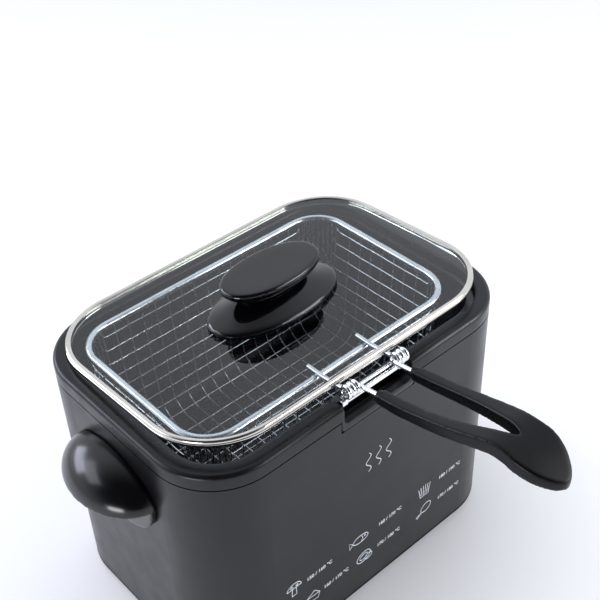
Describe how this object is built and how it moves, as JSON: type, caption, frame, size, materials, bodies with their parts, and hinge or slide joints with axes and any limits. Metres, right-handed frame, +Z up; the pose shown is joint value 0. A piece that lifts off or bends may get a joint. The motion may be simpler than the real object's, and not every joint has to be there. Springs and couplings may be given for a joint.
{
  "type": "deep fryer",
  "caption": "Compact household deep fryer with a lift-out wire basket on a folding handle, a glass lid, side grips and a thermostat dial.",
  "frame": {"origin": "middle of the body's plan, on the plane of the rubber feet", "axes": "+X along the body's long side towards the control end, -Y towards the basket handle, +Z up"},
  "size_m": [0.3242, 0.3201, 0.2261],
  "materials": {
    "housing_black": "satin charcoal-black stove enamel on sheet steel",
    "base_plastic": "fine-grained moulded plastic",
    "feet_rubber": "soft black rubber",
    "zinc_steel": "bright zinc plate",
    "collar_plastic": "satin black heat-resistant plastic",
    "pot_enamel": "smooth black enamel with fine speckle",
    "spreader_aluminium": "plain rolled aluminium",
    "element_steel": "heat-tinted stainless tube",
    "shield_steel": "plain rolled steel",
    "cutout_ceramic": "cream heat-resistant case",
    "sensor_copper": "drawn copper",
    "control_plastic": "cream heat-resistant plastic",
    "dial_plastic": "polished black plastic",
    "bezel_plastic": "satin dark grey plastic",
    "lamp_amber": "clear amber lens",
    "terminal_plastic": "white plastic",
    "gland_rubber": "black rubber",
    "handle_gloss": "polished black plastic",
    "plated_wire": "bright tin plate on steel wire",
    "bracket_chrome": "bright chrome plate on steel wire",
    "grip_plastic": "satin black moulded plastic",
    "lid_steel": "polished stainless steel",
    "lid_glass": "clear toughened glass",
    "knob_gloss": "polished black plastic"
  },
  "bodies": {
    "body": {"outer_housing": "housing_black", "base_plate": "base_plastic", "rubber_feet": "feet_rubber", "tie_rods": "zinc_steel", "base_screws": "zinc_steel", "rim_collar": "collar_plastic", "inner_pot": "pot_enamel", "heat_spreader": "spreader_aluminium", "heating_element": "element_steel", "element_clamp": "zinc_steel", "heat_shield": "shield_steel", "shield_screws": "zinc_steel", "thermal_cutout": "cutout_ceramic", "thermostat_sensor": "sensor_copper", "thermostat_body": "control_plastic", "dial_bezel": "bezel_plastic", "pilot_lamp_body": "control_plastic", "pilot_lamp_lens": "lamp_amber", "terminal_block": "terminal_plastic", "cord_gland": "gland_rubber", "left_side_handle": "handle_gloss", "right_side_handle": "handle_gloss", "left_handle_screws": "zinc_steel", "right_handle_screws": "zinc_steel"},
    "basket": {"basket_rim_wire": "plated_wire", "basket_mesh": "plated_wire", "basket_bracket": "bracket_chrome"},
    "basket_handle": {"handle_prongs": "bracket_chrome", "handle_grip": "grip_plastic"},
    "lid": {"lid_ring": "lid_steel", "lid_glass": "lid_glass", "lid_knob_base": "knob_gloss", "lid_knob_cap": "knob_gloss", "knob_washer": "zinc_steel", "knob_screw": "zinc_steel"},
    "dial": {"thermostat_dial": "dial_plastic", "thermostat_shaft": "zinc_steel"}
  },
  "joints": [
    {"name": "basket_lift", "type": "slide", "parent": "body", "child": "basket", "axis": [0, 0, 1], "range_m": [0, 0.12]},
    {"name": "handle_fold", "type": "hinge", "parent": "basket", "child": "basket_handle", "pos_m": [0, -0.089, 0.1975], "axis": [-1, 0, 0], "range_deg": [0, 72]},
    {"name": "lid_lift", "type": "slide", "parent": "basket", "child": "lid", "axis": [0, 0, 1], "range_m": [0, 0.12]},
    {"name": "thermostat_turn", "type": "hinge", "parent": "body", "child": "dial", "pos_m": [0.135, 0, 0.062], "axis": [1, 0, 0], "range_deg": [0, 270]}
  ]
}
